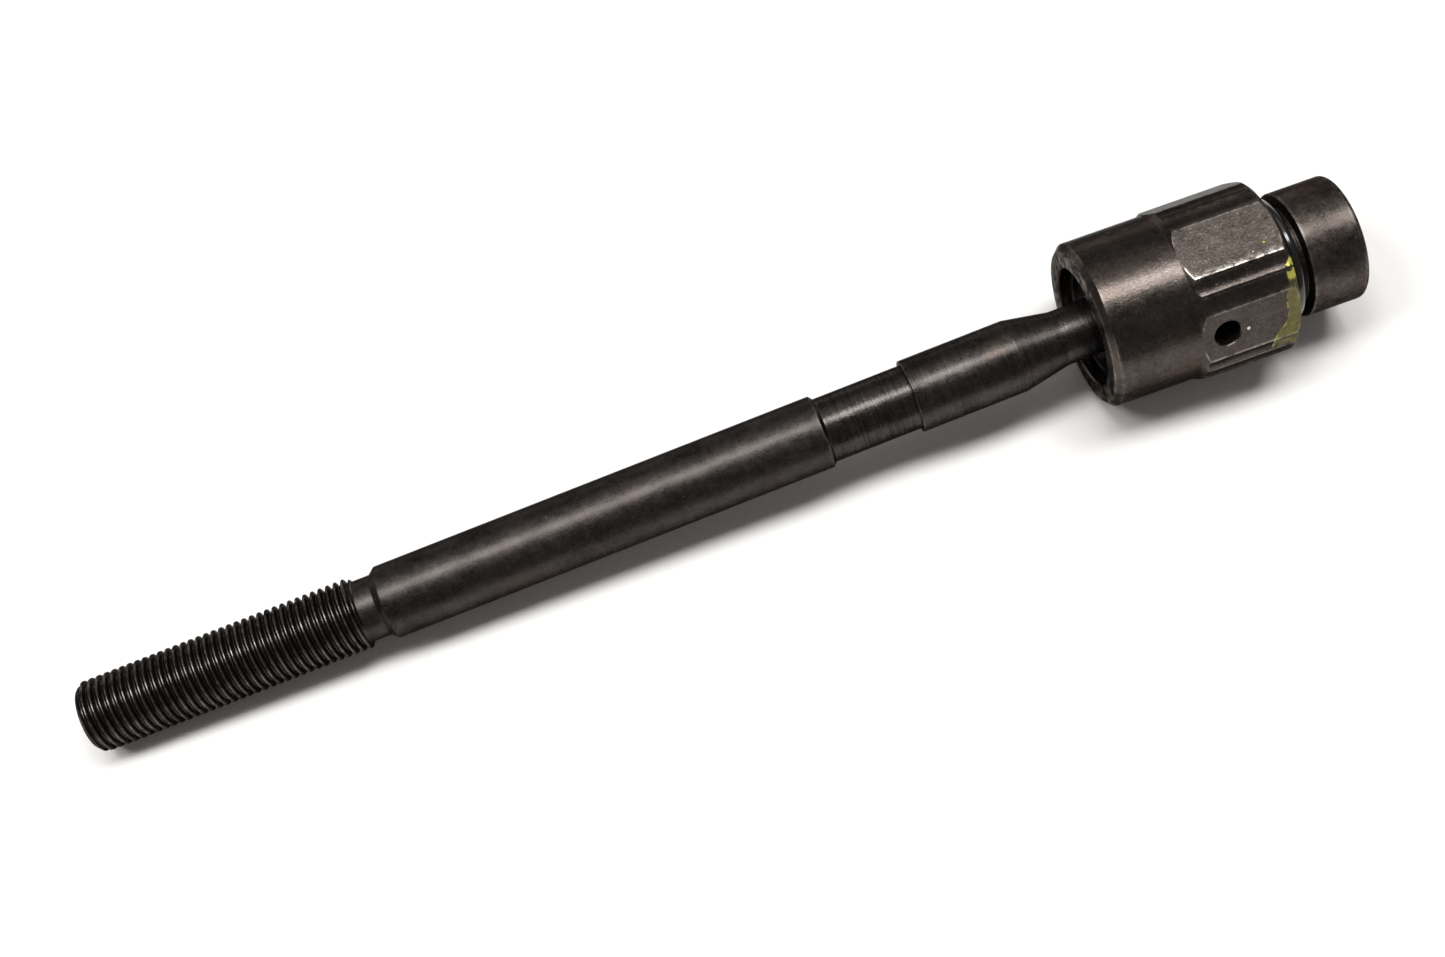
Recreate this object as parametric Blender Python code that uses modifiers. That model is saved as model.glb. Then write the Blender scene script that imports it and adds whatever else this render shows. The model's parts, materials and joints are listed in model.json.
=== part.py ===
"""Tie rod socket: an inner tie rod whose ball turns in an axial steel socket.

The part lies on a table, as it comes to rest: the socket on one flat of its hex, the rod on its threaded end.
World X runs along the socket's axis, from the rod's threaded end towards the plug. Z is up and the table is z = 0.
The origin is the middle of the part's footprint, under the middle of its length.
"""

import math

import bmesh
import bpy
from mathutils import Vector

MM = 0.001

# Clearance between neighbouring pieces
GAP = 0.3 * MM

# Ball and socket
BALL_RADIUS = 9.5 * MM
BALL_FLAT_RADIUS = 2.5 * MM
SEAT_WALL = 1.2 * MM
NECK_RADIUS = 5.3 * MM
NECK_FILLET = 2.0 * MM
SWING_LIMIT = math.radians(20.0)

# Rod, from the ball's centre to the free end
NECK_LENGTH = 15.4 * MM
TAPER_LENGTH = 8.8 * MM
LAND_LENGTH = 20.6 * MM
LAND_RADIUS = 7.0 * MM
JOURNAL_LENGTH = 17.8 * MM
JOURNAL_RADIUS = 6.2 * MM
SHOULDER_CHAMFER = 0.7 * MM
SHANK_LENGTH = 86.0 * MM
SHANK_RADIUS = 7.0 * MM
SHANK_CONE = 1.3 * MM
RELIEF_LENGTH = 3.4 * MM
RELIEF_RADIUS = 5.9 * MM
THREAD_LENGTH = 54.0 * MM
THREAD_RADIUS = 6.9 * MM
THREAD_PITCH = 1.5 * MM
THREAD_DEPTH = 0.92 * MM
THREAD_RUN_IN = 0.7 * MM
THREAD_ROOTED = 0.25 * MM
THREAD_END_CHAMFER = 1.1 * MM

# How the rod lies: it has swung a little to the side before its thread touches the table
SIDE_SWING = math.radians(1.07)

# Socket housing
HEX_ACROSS_FLATS = 32.0 * MM
HEX_CORNER_RADIUS = 16.8 * MM
BODY_RADIUS = 15.9 * MM
MOUTH_DEPTH = 10.5 * MM
MOUTH_EDGE_CHAMFER = 0.8 * MM
BODY_LENGTH = 16.6 * MM
HEX_SHOULDER = 1.3 * MM
HEX_LENGTH = 17.9 * MM
HEX_END_CHAMFER = 1.0 * MM
BORE_EDGE_CHAMFER = 0.3 * MM
CORNER_FLUTE_RADIUS = 5.5 * MM
CORNER_FLUTE_DEPTH = 0.3 * MM
PIN_HOLE_RADIUS = 2.5 * MM
PIN_HOLE_FROM_HEX_START = 3.7 * MM
PIN_HOLE_FLAT = 4

# Ring that closes the mouth round the neck
CLOSING_RING_SETBACK = 2.0 * MM
CLOSING_RING_FRONT_OPENING = 9.3 * MM
CLOSING_RING_BACK_OPENING = 8.8 * MM

# Seats and the spring behind them
FRONT_SEAT_OPENING = 8.6 * MM
SEAT_GREASE_HOLE = 1.5 * MM
SEAT_BOSS_RADIUS = 4.0 * MM
SEAT_BOSS_HEIGHT = 0.5 * MM
REAR_SEAT_SHELL = 1.8 * MM
SPRING_INNER_RADIUS = 2.6 * MM
SPRING_OUTER_RADIUS = 6.2 * MM
SPRING_THICKNESS = 0.8 * MM
SPRING_CONE = 0.6 * MM

# Plug that screws into the housing from behind
PLUG_NOSE_FROM_BALL = 7.0 * MM
PLUG_NOSE_CHAMFER = 0.4 * MM
PLUG_THREAD_STAND_OUT = 0.9 * MM
PLUG_NECK_LENGTH = 3.8 * MM
PLUG_HEAD_RADIUS = 12.0 * MM
PLUG_HEAD_LENGTH = 10.8 * MM
PLUG_HEAD_FRONT_CHAMFER = 0.15 * MM
PLUG_HEAD_END_ROUND = 0.7 * MM

# Seal ring on the plug's neck
SEAL_SECTION_RADIUS = 1.1 * MM
SEAL_STAND_BELOW_HEAD = 0.05 * MM
SEAL_FROM_THREAD = 0.2 * MM

# Facets round the turned pieces
HOUSING_FACETS = 96
ROD_FACETS = 48
THREAD_FACETS = 24
PLUG_FACETS = 48
SEAT_FACETS = 40
SEAL_SECTION_FACETS = 12

# Values that follow from the ones above
HEX_INRADIUS = HEX_ACROSS_FLATS / 2.0
BORE_RADIUS = BALL_RADIUS + GAP + SEAT_WALL + GAP
INSERT_RADIUS = BORE_RADIUS - GAP
SEAT_SPHERE = BALL_RADIUS + GAP
FACE_X = -MOUTH_DEPTH
HEX_START_X = FACE_X + BODY_LENGTH + HEX_SHOULDER
HOUSING_END_X = HEX_START_X + HEX_LENGTH
CLOSING_RING_FRONT_X = FACE_X + CLOSING_RING_SETBACK
FRONT_SEAT_FRONT_X = -math.sqrt(SEAT_SPHERE ** 2 - FRONT_SEAT_OPENING ** 2)
CLOSING_RING_BACK_X = FRONT_SEAT_FRONT_X - GAP
SEAT_SHELL_OUTER = SEAT_SPHERE + REAR_SEAT_SHELL
SEAT_BACK_X = math.sqrt(SEAT_SHELL_OUTER ** 2 - SEAT_BOSS_RADIUS ** 2) + SEAT_BOSS_HEIGHT
SPRING_FRONT_X = SEAT_BACK_X + GAP
SPRING_BACK_X = SPRING_FRONT_X + SPRING_CONE + SPRING_THICKNESS
POCKET_FLOOR_X = SPRING_BACK_X + GAP
POCKET_RADIUS = SPRING_OUTER_RADIUS + GAP
PLUG_CUP_SPHERE = SEAT_SHELL_OUTER + GAP
PLUG_THREAD_END_X = HOUSING_END_X + PLUG_THREAD_STAND_OUT
PLUG_HEAD_X = PLUG_THREAD_END_X + PLUG_NECK_LENGTH
PLUG_END_X = PLUG_HEAD_X + PLUG_HEAD_LENGTH
SEAL_RING_RADIUS = PLUG_HEAD_RADIUS - SEAL_STAND_BELOW_HEAD - SEAL_SECTION_RADIUS
SEAL_X = PLUG_THREAD_END_X + SEAL_FROM_THREAD + SEAL_SECTION_RADIUS
PLUG_NECK_RADIUS = SEAL_RING_RADIUS - SEAL_SECTION_RADIUS - GAP

TAPER_START = NECK_LENGTH
LAND_START = TAPER_START + TAPER_LENGTH
JOURNAL_START = LAND_START + LAND_LENGTH
SHANK_START = JOURNAL_START + JOURNAL_LENGTH
SHANK_END = SHANK_START + SHANK_LENGTH
RELIEF_START = SHANK_END + SHANK_CONE
THREAD_START = RELIEF_START + RELIEF_LENGTH
ROD_END = THREAD_START + THREAD_LENGTH
THREAD_FULL_END = ROD_END - THREAD_END_CHAMFER
ROD_END_RADIUS = THREAD_RADIUS - THREAD_END_CHAMFER
THREAD_ROOT = THREAD_RADIUS - THREAD_DEPTH

# The rod droops from the ball, at half the hex's height, until its last full thread touches the table
DROOP = (math.asin(HEX_INRADIUS / math.hypot(THREAD_FULL_END, THREAD_RADIUS))
         - math.atan2(THREAD_RADIUS, THREAD_FULL_END))
ROD_DIRECTION = Vector((-math.cos(DROOP) * math.cos(SIDE_SWING),
                        -math.cos(DROOP) * math.sin(SIDE_SWING),
                        -math.sin(DROOP)))
REST_TILT = math.acos(-ROD_DIRECTION.x)
ROD_TIP_X = -(ROD_END * math.cos(REST_TILT) + ROD_END_RADIUS * math.sin(REST_TILT))
BALL_CENTRE = Vector((-(ROD_TIP_X + PLUG_END_X) / 2.0, 0.0, HEX_INRADIUS))


def clear_scene():
    """Remove whatever the file holds, so that the model starts from nothing."""
    for obj in list(bpy.data.objects):
        bpy.data.objects.remove(obj, do_unlink=True)


def new_collection(name):
    """Make a collection in the scene."""
    collection = bpy.data.collections.new(name)
    bpy.context.scene.collection.children.link(collection)
    return collection


def surface(name, colour, roughness, metallic):
    """Make a plain material from a colour, a roughness and a metallic value."""
    material = bpy.data.materials.new(name)
    material.use_nodes = True
    shader = material.node_tree.nodes["Principled BSDF"]
    shader.inputs["Base Color"].default_value = (*colour, 1.0)
    shader.inputs["Roughness"].default_value = roughness
    shader.inputs["Metallic"].default_value = metallic
    material.diffuse_color = (*colour, 1.0)
    return material


def arc(centre, radius, start, end, steps):
    """Points on an arc, as (axial place, radius) pairs, with angles measured from the axis."""
    points = []
    for step in range(steps + 1):
        angle = start + (end - start) * step / steps
        points.append((centre[0] + radius * math.cos(angle), centre[1] + radius * math.sin(angle)))
    return points


def turned(name, profile, facets, collection, parent, closed=False):
    """Turn a profile of (axial place, radius) points, given from the far end back along the outside.

    A closed profile makes a ring, and an open one a solid that ends on the axis. The axis is local Z.
    """
    mesh = bpy.data.meshes.new(name)
    outline = bmesh.new()
    verts = [outline.verts.new((radius, 0.0, place)) for place, radius in profile]
    for first, second in zip(verts, verts[1:]):
        outline.edges.new((first, second))
    if closed:
        outline.edges.new((verts[-1], verts[0]))
    outline.to_mesh(mesh)
    outline.free()
    obj = bpy.data.objects.new(name, mesh)
    collection.objects.link(obj)
    obj.parent = parent
    screw = obj.modifiers.new("turn", "SCREW")
    screw.axis = "Z"
    screw.angle = 2.0 * math.pi
    screw.steps = facets
    screw.render_steps = facets
    screw.use_merge_vertices = True
    screw.merge_threshold = 0.00001
    screw.use_smooth_shade = True
    return obj


def cut(obj, cutter, operation="DIFFERENCE"):
    """Cut an object with another, join the two, or keep what they share."""
    boolean = obj.modifiers.new(cutter.name, "BOOLEAN")
    boolean.operation = operation
    boolean.solver = "EXACT"
    boolean.object = cutter


def hide_cutter(cutter, collection, parent):
    """Put a cutter with the other cutters, out of the render."""
    collection.objects.link(cutter)
    cutter.parent = parent
    cutter.hide_render = True
    cutter.display_type = "WIRE"


def prism(name, sides, radius, low, high, collection, parent):
    """Make an upright prism with its axis on local Z, for use as a cutter."""
    mesh = bpy.data.meshes.new(name)
    shape = bmesh.new()
    bmesh.ops.create_cone(shape, cap_ends=True, segments=sides, radius1=radius, radius2=radius, depth=high - low)
    bmesh.ops.translate(shape, verts=shape.verts, vec=(0.0, 0.0, (high + low) / 2.0))
    shape.to_mesh(mesh)
    shape.free()
    cutter = bpy.data.objects.new(name, mesh)
    hide_cutter(cutter, collection, parent)
    return cutter


def finish(obj, material, sharp_degrees=32.0):
    """Give a piece its material and smooth shading with sharp corners."""
    obj.data.materials.append(material)
    obj.data.shade_smooth()
    obj.data.set_sharp_from_angle(angle=math.radians(sharp_degrees))
    return obj


def make_housing(pieces, cutters, axis, material):
    """Round mouth and hex collar, turned in one, with fluted corners, a through bore and a locking pin hole."""
    outer_flat = HEX_CORNER_RADIUS - HEX_END_CHAMFER
    profile = [
        (HOUSING_END_X, BORE_RADIUS + 2.0 * BORE_EDGE_CHAMFER),
        (HOUSING_END_X, outer_flat),
        (HOUSING_END_X - HEX_END_CHAMFER, HEX_CORNER_RADIUS),
        (HEX_START_X, HEX_CORNER_RADIUS),
        (HEX_START_X - HEX_SHOULDER, BODY_RADIUS),
        (FACE_X + MOUTH_EDGE_CHAMFER, BODY_RADIUS),
        (FACE_X, BODY_RADIUS - MOUTH_EDGE_CHAMFER),
        (FACE_X, BORE_RADIUS + BORE_EDGE_CHAMFER),
        (FACE_X + BORE_EDGE_CHAMFER, BORE_RADIUS),
        (HOUSING_END_X - 2.0 * BORE_EDGE_CHAMFER, BORE_RADIUS),
    ]
    housing = turned("socket_housing", profile, HOUSING_FACETS, pieces, axis, closed=True)

    margin = 2.0 * MM
    corner_to_centre = HEX_INRADIUS / math.cos(math.radians(30.0))
    hexagon = prism("hex_stock", 6, corner_to_centre, FACE_X - margin, HOUSING_END_X + margin, cutters, axis)
    cut(housing, hexagon, "INTERSECT")

    # Each turned-off corner is as wide as the hex leaves it, and holds two flutes side by side
    corner_half_angle = math.radians(30.0) - math.acos(HEX_INRADIUS / HEX_CORNER_RADIUS)
    flute_distance = HEX_CORNER_RADIUS + CORNER_FLUTE_RADIUS - CORNER_FLUTE_DEPTH
    for corner in range(6):
        for side in (-1, 1):
            angle = math.radians(30.0 + 60.0 * corner) + side * corner_half_angle / 2.0
            flute = prism(f"flute_{corner}_{'a' if side < 0 else 'b'}", 48, CORNER_FLUTE_RADIUS,
                          HEX_START_X - HEX_SHOULDER, HOUSING_END_X + margin, cutters, axis)
            flute.location = (flute_distance * math.cos(angle), flute_distance * math.sin(angle), 0.0)
            cut(housing, flute)

    hole_angle = math.radians(60.0 * PIN_HOLE_FLAT)
    hole = prism("pin_hole", 28, PIN_HOLE_RADIUS, BORE_RADIUS - margin, HEX_INRADIUS + margin, cutters, axis)
    hole.rotation_euler = (0.0, math.radians(90.0), hole_angle)
    hole.location = (0.0, 0.0, HEX_START_X + PIN_HOLE_FROM_HEX_START)
    cut(housing, hole)
    return finish(housing, material, 20.0)


def make_closing_ring(pieces, axis, material):
    """Steel ring pressed into the mouth, with a funnel that the neck swings in."""
    chamfer = BORE_EDGE_CHAMFER
    profile = [
        (CLOSING_RING_BACK_X, CLOSING_RING_BACK_OPENING),
        (CLOSING_RING_BACK_X, INSERT_RADIUS - chamfer),
        (CLOSING_RING_BACK_X - chamfer, INSERT_RADIUS),
        (CLOSING_RING_FRONT_X + chamfer, INSERT_RADIUS),
        (CLOSING_RING_FRONT_X, INSERT_RADIUS - chamfer),
        (CLOSING_RING_FRONT_X, CLOSING_RING_FRONT_OPENING),
    ]
    return finish(turned("closing_ring", profile, SEAT_FACETS, pieces, axis, closed=True), material)


def make_front_seat(pieces, axis, material):
    """Bearing shell in front of the ball's widest line."""
    back_x = -GAP / 2.0
    inner_start = math.acos(FRONT_SEAT_FRONT_X / SEAT_SPHERE)
    inner_end = math.acos(back_x / SEAT_SPHERE)
    profile = [
        (back_x, INSERT_RADIUS),
        (FRONT_SEAT_FRONT_X, INSERT_RADIUS),
    ] + arc((0.0, 0.0), SEAT_SPHERE, inner_start, inner_end, 5)
    return finish(turned("front_ball_seat", profile, SEAT_FACETS, pieces, axis, closed=True), material)


def make_rear_seat(pieces, axis, material):
    """Bearing cup behind the ball: a shell that thins to a boss with a grease hole."""
    front_x = GAP / 2.0
    inner_start = math.acos(front_x / SEAT_SPHERE)
    inner_end = math.asin(SEAT_GREASE_HOLE / SEAT_SPHERE)
    boss_angle = math.asin(SEAT_BOSS_RADIUS / SEAT_SHELL_OUTER)
    rim_angle = math.asin(INSERT_RADIUS / SEAT_SHELL_OUTER)
    profile = [(SEAT_BACK_X, SEAT_GREASE_HOLE), (SEAT_BACK_X, SEAT_BOSS_RADIUS)]
    profile += arc((0.0, 0.0), SEAT_SHELL_OUTER, boss_angle, rim_angle, 5)
    profile += [(front_x, INSERT_RADIUS)]
    profile += arc((0.0, 0.0), SEAT_SPHERE, inner_start, inner_end, 7)
    return finish(turned("rear_ball_seat", profile, SEAT_FACETS, pieces, axis, closed=True), material)


def make_spring(pieces, axis, material):
    """Coned disc spring between the rear seat's boss and the floor of the plug's pocket."""
    profile = [
        (SPRING_FRONT_X + SPRING_THICKNESS, SPRING_INNER_RADIUS),
        (SPRING_BACK_X, SPRING_OUTER_RADIUS),
        (SPRING_FRONT_X + SPRING_CONE, SPRING_OUTER_RADIUS),
        (SPRING_FRONT_X, SPRING_INNER_RADIUS),
    ]
    return finish(turned("preload_spring", profile, SEAT_FACETS, pieces, axis, closed=True), material)


def make_plug(pieces, axis, material):
    """Threaded plug: a cup for the rear seat, a pocket for the spring, a neck and a plain round head."""
    round_centre = (PLUG_END_X - PLUG_HEAD_END_ROUND, PLUG_HEAD_RADIUS - PLUG_HEAD_END_ROUND)
    cup_rim = math.acos(PLUG_NOSE_FROM_BALL / PLUG_CUP_SPHERE)
    cup_end = math.asin(POCKET_RADIUS / PLUG_CUP_SPHERE)
    profile = [(PLUG_END_X, 0.0)]
    profile += arc(round_centre, PLUG_HEAD_END_ROUND, 0.0, math.radians(90.0), 4)
    profile += [
        (PLUG_HEAD_X + PLUG_HEAD_FRONT_CHAMFER, PLUG_HEAD_RADIUS),
        (PLUG_HEAD_X, PLUG_HEAD_RADIUS - PLUG_HEAD_FRONT_CHAMFER),
        (PLUG_HEAD_X, PLUG_NECK_RADIUS),
        (PLUG_THREAD_END_X, PLUG_NECK_RADIUS),
        (PLUG_THREAD_END_X - PLUG_NOSE_CHAMFER, INSERT_RADIUS),
        (PLUG_NOSE_FROM_BALL + PLUG_NOSE_CHAMFER, INSERT_RADIUS),
        (PLUG_NOSE_FROM_BALL, INSERT_RADIUS - PLUG_NOSE_CHAMFER),
    ]
    profile += arc((0.0, 0.0), PLUG_CUP_SPHERE, cup_rim, cup_end, 4)
    profile += [(POCKET_FLOOR_X, POCKET_RADIUS), (POCKET_FLOOR_X, 0.0)]
    return finish(turned("end_plug", profile, PLUG_FACETS, pieces, axis), material)


def make_seal(pieces, axis, material):
    """Rubber ring on the plug's neck."""
    bpy.ops.mesh.primitive_torus_add(major_radius=SEAL_RING_RADIUS, minor_radius=SEAL_SECTION_RADIUS,
                                     major_segments=PLUG_FACETS, minor_segments=SEAL_SECTION_FACETS)
    seal = bpy.context.object
    seal.name = "seal_ring"
    for collection in list(seal.users_collection):
        collection.objects.unlink(seal)
    pieces.objects.link(seal)
    seal.parent = axis
    seal.location = (0.0, 0.0, SEAL_X)
    return finish(seal, material, 60.0)


def thread_radius(place, on_crest):
    """Radius of a thread's crest or root line at a place along the rod, where the run-in and end chamfer allow it."""
    run_in = THREAD_RADIUS - (THREAD_START + THREAD_RUN_IN - place) * THREAD_DEPTH / THREAD_RUN_IN
    end_chamfer = ROD_END_RADIUS + (ROD_END - place)
    return min(THREAD_RADIUS if on_crest else THREAD_ROOT, run_in, end_chamfer)


def thread_body(collection, parent):
    """Make the right-hand thread as a closed body on local Z, from the relief to the rod's end.

    A flat grid is wound into a helix: its columns go once round, and its rows are crest and root lines in turn,
    each a pitch higher where it comes round again. Rows are stopped at both ends, where they fall together.
    """
    turns = math.ceil(THREAD_LENGTH / THREAD_PITCH) + 1
    mesh = bpy.data.meshes.new("thread")
    winding = bmesh.new()
    bmesh.ops.create_grid(winding, x_segments=THREAD_FACETS, y_segments=2 * turns, size=0.5)
    for vert in winding.verts:
        turn = vert.co.x + 0.5
        row = round((vert.co.y + 0.5) * 2 * turns)
        place = THREAD_START + (row / 2.0 - 1.0 + turn) * THREAD_PITCH
        place = max(THREAD_START, min(ROD_END, place))
        radius = thread_radius(place, row % 2 == 1)
        angle = 2.0 * math.pi * turn
        vert.co = (radius * math.cos(angle), radius * math.sin(angle), place)
    bmesh.ops.remove_doubles(winding, verts=winding.verts, dist=0.002 * MM)
    rims = [edge for edge in winding.edges if edge.is_boundary]
    bmesh.ops.holes_fill(winding, edges=rims)
    bmesh.ops.recalc_face_normals(winding, faces=winding.faces)
    winding.to_mesh(mesh)
    winding.free()
    body = bpy.data.objects.new("thread", mesh)
    hide_cutter(body, collection, parent)
    return body


def make_rod(pieces, cutters, axis, material):
    """Rod with its ball and thread, in one forging. Local +Z runs from the ball's centre to the threaded end."""
    fillet_height = NECK_RADIUS + NECK_FILLET
    fillet_place = math.sqrt((BALL_RADIUS + NECK_FILLET) ** 2 - fillet_height ** 2)
    ball_to_fillet = math.atan2(fillet_height, fillet_place)
    flat_angle = math.pi - math.asin(BALL_FLAT_RADIUS / BALL_RADIUS)
    profile = [
        (THREAD_START + THREAD_ROOTED, 0.0),
        (THREAD_START + THREAD_ROOTED, RELIEF_RADIUS),
        (RELIEF_START, RELIEF_RADIUS),
        (SHANK_END, SHANK_RADIUS),
        (SHANK_START, SHANK_RADIUS),
        (SHANK_START - SHOULDER_CHAMFER, JOURNAL_RADIUS),
        (JOURNAL_START, JOURNAL_RADIUS),
        (JOURNAL_START, LAND_RADIUS),
        (LAND_START, LAND_RADIUS),
        (TAPER_START, NECK_RADIUS),
    ]
    profile += arc((fillet_place, fillet_height), NECK_FILLET, math.radians(-90.0), ball_to_fillet - math.pi, 4)
    profile += arc((0.0, 0.0), BALL_RADIUS, ball_to_fillet, flat_angle, 13)[1:]
    profile += [(profile[-1][0], 0.0)]
    rod = turned("tie_rod", profile, ROD_FACETS, pieces, axis)
    cut(rod, thread_body(cutters, axis), "UNION")
    return finish(rod, material)


def main():
    """Build the whole part."""
    clear_scene()
    pieces = new_collection("tie_rod_socket")
    cutters = new_collection("cutters")

    steel_brown = surface("blackened_steel_brown", (0.075, 0.065, 0.060), 0.48, 0.85)
    steel_black = surface("blackened_steel_oiled", (0.035, 0.032, 0.032), 0.40, 0.80)
    bare_steel = surface("bright_steel", (0.42, 0.41, 0.39), 0.30, 1.0)
    polymer = surface("bearing_polymer", (0.030, 0.030, 0.032), 0.45, 0.0)
    rubber = surface("seal_rubber", (0.012, 0.012, 0.013), 0.35, 0.0)

    socket_axis = bpy.data.objects.new("socket_axis", None)
    socket_axis.location = BALL_CENTRE
    socket_axis.rotation_euler = (0.0, math.radians(90.0), 0.0)
    pieces.objects.link(socket_axis)

    rod_axis = bpy.data.objects.new("rod_axis", None)
    rod_axis.location = BALL_CENTRE
    rod_axis.rotation_mode = "QUATERNION"
    rod_axis.rotation_quaternion = Vector((0.0, 0.0, 1.0)).rotation_difference(ROD_DIRECTION)
    pieces.objects.link(rod_axis)

    make_housing(pieces, cutters, socket_axis, steel_brown)
    make_closing_ring(pieces, socket_axis, steel_black)
    make_front_seat(pieces, socket_axis, polymer)
    make_rear_seat(pieces, socket_axis, polymer)
    make_spring(pieces, socket_axis, bare_steel)
    make_plug(pieces, socket_axis, steel_brown)
    make_seal(pieces, socket_axis, rubber)
    make_rod(pieces, cutters, rod_axis, steel_black)
    bpy.context.view_layer.update()


main()
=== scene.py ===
"""Tie rod socket: fine surfaces, threads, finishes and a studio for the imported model, as an add-on.

An inner tie rod lies on a pale table. Its ball turns in a steel socket with a hex collar. A round plug is
screwed into the socket from behind, with a rubber ring on its neck. Sizes are in metres.
"""

import json
import math
from itertools import accumulate

import bmesh
import bpy
from bpy.props import FloatProperty, FloatVectorProperty, IntProperty, PointerProperty
from mathutils import Matrix, Quaternion, Vector


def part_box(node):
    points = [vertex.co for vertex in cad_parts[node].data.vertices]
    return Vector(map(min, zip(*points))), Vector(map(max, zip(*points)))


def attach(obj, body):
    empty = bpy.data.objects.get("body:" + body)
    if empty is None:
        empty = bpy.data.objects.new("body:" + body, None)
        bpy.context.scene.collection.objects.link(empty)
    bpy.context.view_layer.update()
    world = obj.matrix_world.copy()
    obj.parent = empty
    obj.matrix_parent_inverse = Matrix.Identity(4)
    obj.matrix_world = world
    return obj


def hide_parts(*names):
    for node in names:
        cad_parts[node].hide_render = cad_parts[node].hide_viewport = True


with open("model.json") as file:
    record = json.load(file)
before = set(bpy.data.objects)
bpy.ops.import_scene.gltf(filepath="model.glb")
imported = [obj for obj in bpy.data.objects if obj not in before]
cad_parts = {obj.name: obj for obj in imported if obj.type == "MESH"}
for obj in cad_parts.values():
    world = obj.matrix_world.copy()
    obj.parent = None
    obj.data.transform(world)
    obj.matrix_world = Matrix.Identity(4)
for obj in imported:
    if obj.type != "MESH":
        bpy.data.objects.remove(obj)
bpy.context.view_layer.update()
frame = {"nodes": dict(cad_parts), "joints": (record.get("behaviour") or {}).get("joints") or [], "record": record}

bl_info = {
    "name": "Tie Rod Socket",
    "version": (1, 0, 0),
    "blender": (4, 5, 0),
    "location": "View3D > Sidebar > Tie Rod",
    "description": "Builds an inner tie rod with its ball socket, and the studio it is seen in",
    "category": "Object",
}

MM = 0.001

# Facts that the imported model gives
MOUNTS = {mount["name"]: mount for mount in frame["record"]["mounts"]}
BALL_CENTRE = Vector(frame["joints"][0]["pos_m"])
ROD_DIRECTION = Vector(MOUNTS["thread_end_face"]["axis"]).normalized()
ROD_LENGTH = (Vector(MOUNTS["thread_end_face"]["pos_m"]) - BALL_CENTRE).length
HOUSING_LOW, HOUSING_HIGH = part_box("socket_housing")
SEAL_LOW, SEAL_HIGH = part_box("seal_ring")

# The socket's axis runs along world X, and its local X points at the flat that lies on the table
SOCKET_FRAME = Matrix.Translation(BALL_CENTRE) @ Matrix.Rotation(math.radians(90.0), 4, "Y")
ROD_TURN = Vector((0.0, 0.0, 1.0)).rotation_difference(ROD_DIRECTION)
ROD_FRAME = Matrix.Translation(BALL_CENTRE) @ ROD_TURN.to_matrix().to_4x4()

# How finely turned surfaces are cut, and how close two points are welded
AROUND = 144
ARC_STEPS = 5
WELD = 0.5e-6

# Wear beside a worn corner fades out over this length
WEAR_FADE = 0.5 * MM

# Cup of the front ball seat, and the cup in the plug that the rear seat moves in
SEAT_CUP_RADIUS = 9.8 * MM
PLUG_CUP_RADIUS = 11.9 * MM


def extent(node):
    """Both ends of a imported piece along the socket's axis, from the ball's centre, and its radius."""
    low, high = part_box(node)
    return low.x - BALL_CENTRE.x, high.x - BALL_CENTRE.x, (high.z - low.z) / 2.0


# Sizes and colours that a user may change

def in_metres(name, description, default):
    """A property for a length."""
    return FloatProperty(name=name, description=description, default=default, unit="LENGTH")


def in_degrees(name, description, degrees):
    """A property for an angle."""
    return FloatProperty(name=name, description=description, default=math.radians(degrees), subtype="ANGLE")


def in_colour(name, description, default):
    """A property for a colour."""
    return FloatVectorProperty(name=name, description=description, default=default, subtype="COLOR",
                               min=0.0, max=1.0)


class RodSizes(bpy.types.PropertyGroup):
    ball_radius: in_metres("Ball radius", "Radius of the ball", 9.5 * MM)
    neck_radius: in_metres("Neck radius", "Radius of the neck", 5.3 * MM)
    neck_fillet: in_metres("Neck fillet", "Fillet between neck and ball", 2.0 * MM)
    neck_length: in_metres("Neck length", "From the ball's centre to the taper", 15.4 * MM)
    taper_length: in_metres("Taper length", "Cone between neck and land", 8.8 * MM)
    land_length: in_metres("Land length", "Plain land behind the taper", 20.6 * MM)
    journal_length: in_metres("Journal length", "Narrower turned section", 17.8 * MM)
    journal_radius: in_metres("Journal radius", "Radius of the narrower section", 6.2 * MM)
    shoulder_chamfer: in_metres("Shoulder chamfer", "Chamfer from journal to shank", 0.7 * MM)
    shank_length: in_metres("Shank length", "Long plain shank", 86.0 * MM)
    shank_radius: in_metres("Shank radius", "Radius of the shank and the land", 7.0 * MM)
    shank_cone: in_metres("Shank cone", "Cone from the shank to the thread's relief", 1.3 * MM)
    relief_length: in_metres("Relief length", "Thread relief", 3.4 * MM)
    relief_radius: in_metres("Relief radius", "Radius of the thread relief", 5.9 * MM)
    thread_radius: in_metres("Thread radius", "Crest radius of the thread", 6.9 * MM)
    thread_end_chamfer: in_metres("End chamfer", "Chamfer on the free end", 1.1 * MM)


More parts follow.
